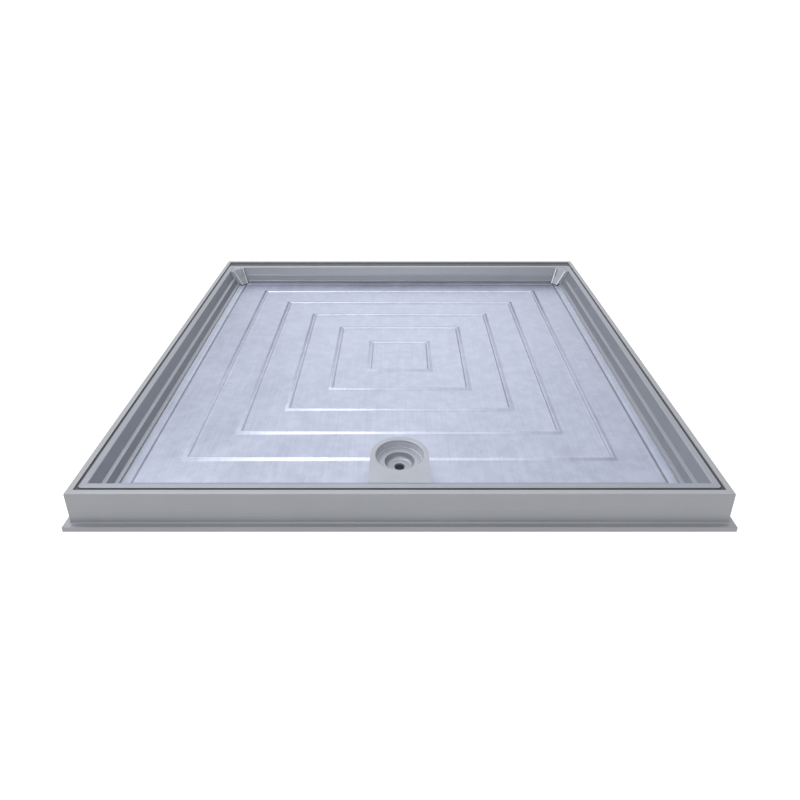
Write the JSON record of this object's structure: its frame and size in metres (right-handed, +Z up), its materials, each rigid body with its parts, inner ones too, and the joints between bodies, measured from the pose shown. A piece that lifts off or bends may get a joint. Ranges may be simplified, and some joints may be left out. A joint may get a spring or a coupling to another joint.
{
  "type": "recessed paving cover",
  "caption": "Square aluminium frame holding a shallow tray for paving, with a ribbed galvanised base, cast blocks in its back corners and a round recessed socket for a lifting key.",
  "frame": {"origin": "middle of the frame's underside, which is where its seat and flange stand on their bedding", "axes": "+Z up, +Y from the side with the key socket (the front) towards the back, +X to the right seen from the front"},
  "size_m": [0.6932, 0.6932, 0.0435],
  "materials": {
    "frame_aluminium": "satin mill-finish extrusion",
    "tray_aluminium": "satin mill-finish extrusion",
    "key_aluminium": "as cast",
    "key_steel": "zinc-plated plate",
    "seal_rubber": "matt black",
    "galvanised_sheet": "bright galvanised sheet with fine rolling streaks",
    "cast_aluminium": "smooth satin casting",
    "bush_steel": "zinc-plated steel",
    "corner_casting": "smooth satin casting"
  },
  "bodies": {
    "root": {"frame_front": "frame_aluminium", "frame_right": "frame_aluminium", "frame_back": "frame_aluminium", "frame_left": "frame_aluminium", "frame_key_front_left": "key_steel", "frame_key_front_right": "key_steel", "frame_key_back_right": "key_steel", "frame_key_back_left": "key_steel", "seal": "seal_rubber", "rim_front": "tray_aluminium", "rim_right": "tray_aluminium", "rim_back": "tray_aluminium", "rim_left": "tray_aluminium", "rim_key_front_left": "key_aluminium", "rim_key_front_right": "key_aluminium", "rim_key_back_right": "key_aluminium", "rim_key_back_left": "key_aluminium", "base_pan": "galvanised_sheet", "key_socket": "cast_aluminium", "lifting_bush": "bush_steel", "socket_screws": "bush_steel", "corner_block_back_right": "corner_casting", "corner_block_back_left": "corner_casting"}
  },
  "joints": []
}
